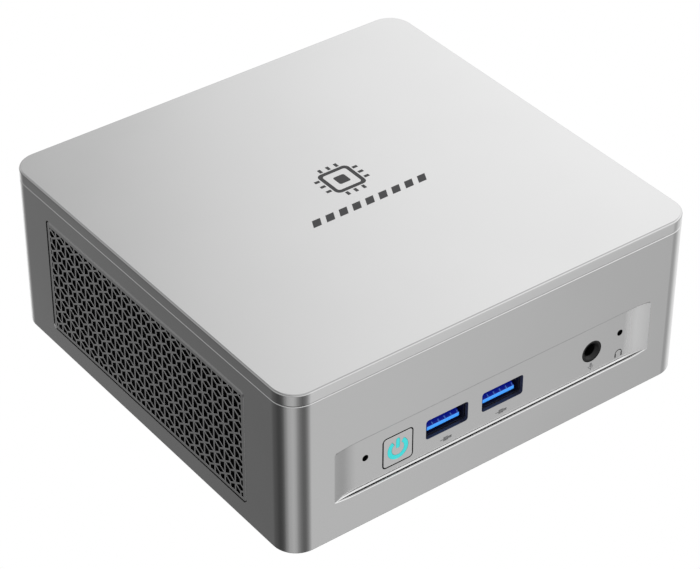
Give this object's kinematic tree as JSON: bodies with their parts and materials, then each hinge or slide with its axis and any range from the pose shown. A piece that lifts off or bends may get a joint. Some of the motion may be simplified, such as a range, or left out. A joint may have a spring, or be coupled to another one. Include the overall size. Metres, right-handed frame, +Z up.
{
  "type": "mini pc",
  "caption": "Small square desktop computer in a satin metal case with vented sides, a lift-off top cover, a sunken front port panel and rear sockets.",
  "frame": {"origin": "centre of the footprint, on the surface that the rubber feet stand on", "axes": "+Z up, -Y towards the front with the power button, +X to the right as seen from the front"},
  "size_m": [0.13, 0.1264, 0.052],
  "materials": {
    "silver_shell": "satin anodised",
    "silver_panel": "satin",
    "ink": "printed",
    "dark_plate": "matt powder coat",
    "rubber": "matt",
    "screw_steel": "zinc plated",
    "grille_grey": "satin",
    "filter_mesh": "fine mesh",
    "button_cap": "satin",
    "light_guide": "lit",
    "black_plastic": "moulded",
    "board_green": "solder mask",
    "led_white": "clear",
    "socket_metal": "nickel plated",
    "usb_blue": "moulded",
    "contact_gold": "gold plated",
    "copper": "bare",
    "fin_aluminium": "bare",
    "parts_grey": "moulded",
    "cell_steel": "satin",
    "antenna_foil": "etched foil",
    "cable_black": "jacket"
  },
  "bodies": {
    "case": {"main_shell": "silver_shell", "bottom_plate": "dark_plate", "rubber_feet": "rubber", "bottom_screws": "screw_steel", "left_grille": "grille_grey", "right_grille": "grille_grey", "left_filter": "filter_mesh", "right_filter": "filter_mesh", "front_io_panel": "silver_panel", "front_icons": "ink", "power_switch": "parts_grey", "button_board": "board_green", "power_led": "led_white", "reset_switch": "socket_metal", "microphone": "black_plastic", "front_usb_shells": "socket_metal", "front_usb_tongues": "usb_blue", "front_usb_contacts": "contact_gold", "audio_jack": "black_plastic", "rear_io_panel": "dark_plate", "dc_jack": "black_plastic", "dc_jack_pin": "contact_gold", "lan_socket": "socket_metal", "lan_contacts": "contact_gold", "hdmi_shells": "socket_metal", "hdmi_tongues": "black_plastic", "usb_c_shells": "socket_metal", "usb_c_tongues": "black_plastic", "rear_usb_shells": "socket_metal", "rear_usb_tongues": "usb_blue", "mainboard": "board_green", "board_screws": "screw_steel", "board_parts": "parts_grey", "cpu": "parts_grey", "cold_plate": "copper", "heat_pipes": "copper", "fin_stack": "fin_aluminium", "blower_housing": "black_plastic", "blower_cover": "fin_aluminium", "blower_screws": "screw_steel", "blower_stator": "copper", "memory_sockets": "black_plastic", "memory_modules": "board_green", "ssd_socket": "black_plastic", "ssd": "board_green", "ssd_screw": "screw_steel", "radio_card": "board_green", "antennas": "antenna_foil", "antenna_cables": "cable_black", "coin_cell": "cell_steel", "drive_fan_frame": "black_plastic", "drive_fan_screws": "screw_steel"},
    "top_cover": {"top_cover": "silver_shell", "top_emblem": "ink"},
    "power_button": {"power_button": "button_cap", "power_light_guide": "light_guide"},
    "power_plunger": {"power_plunger": "black_plastic"},
    "reset_plunger": {"reset_plunger": "black_plastic"},
    "blower_rotor": {"blower_rotor": "black_plastic"},
    "drive_fan_rotor": {"drive_fan_rotor": "black_plastic"}
  },
  "joints": [
    {"name": "cover_lift", "type": "slide", "parent": "case", "child": "top_cover", "axis": [0, 0, 1], "range_m": [0, 0.025]},
    {"name": "power_press", "type": "slide", "parent": "case", "child": "power_button", "axis": [0, 1, 0], "range_m": [0, 0.0004], "stiffness_N_per_m": 3000},
    {"name": "power_switch_travel", "type": "slide", "parent": "case", "child": "power_plunger", "axis": [0, 1, 0], "range_m": [0, 0.0004]},
    {"name": "reset_press", "type": "slide", "parent": "case", "child": "reset_plunger", "axis": [0, 1, 0], "range_m": [0, 0.00025], "stiffness_N_per_m": 4000},
    {"name": "blower_spin", "type": "hinge", "parent": "case", "child": "blower_rotor", "pos_m": [-0.005, 0.002, 0.04], "axis": [0, 0, 1], "continuous": true},
    {"name": "drive_fan_spin", "type": "hinge", "parent": "case", "child": "drive_fan_rotor", "pos_m": [0, -0.002, 0.007], "axis": [0, 0, 1], "continuous": true}
  ],
  "couplings": [
    {"joint": "power_switch_travel", "follows": "power_press", "ratio": 1}
  ]
}
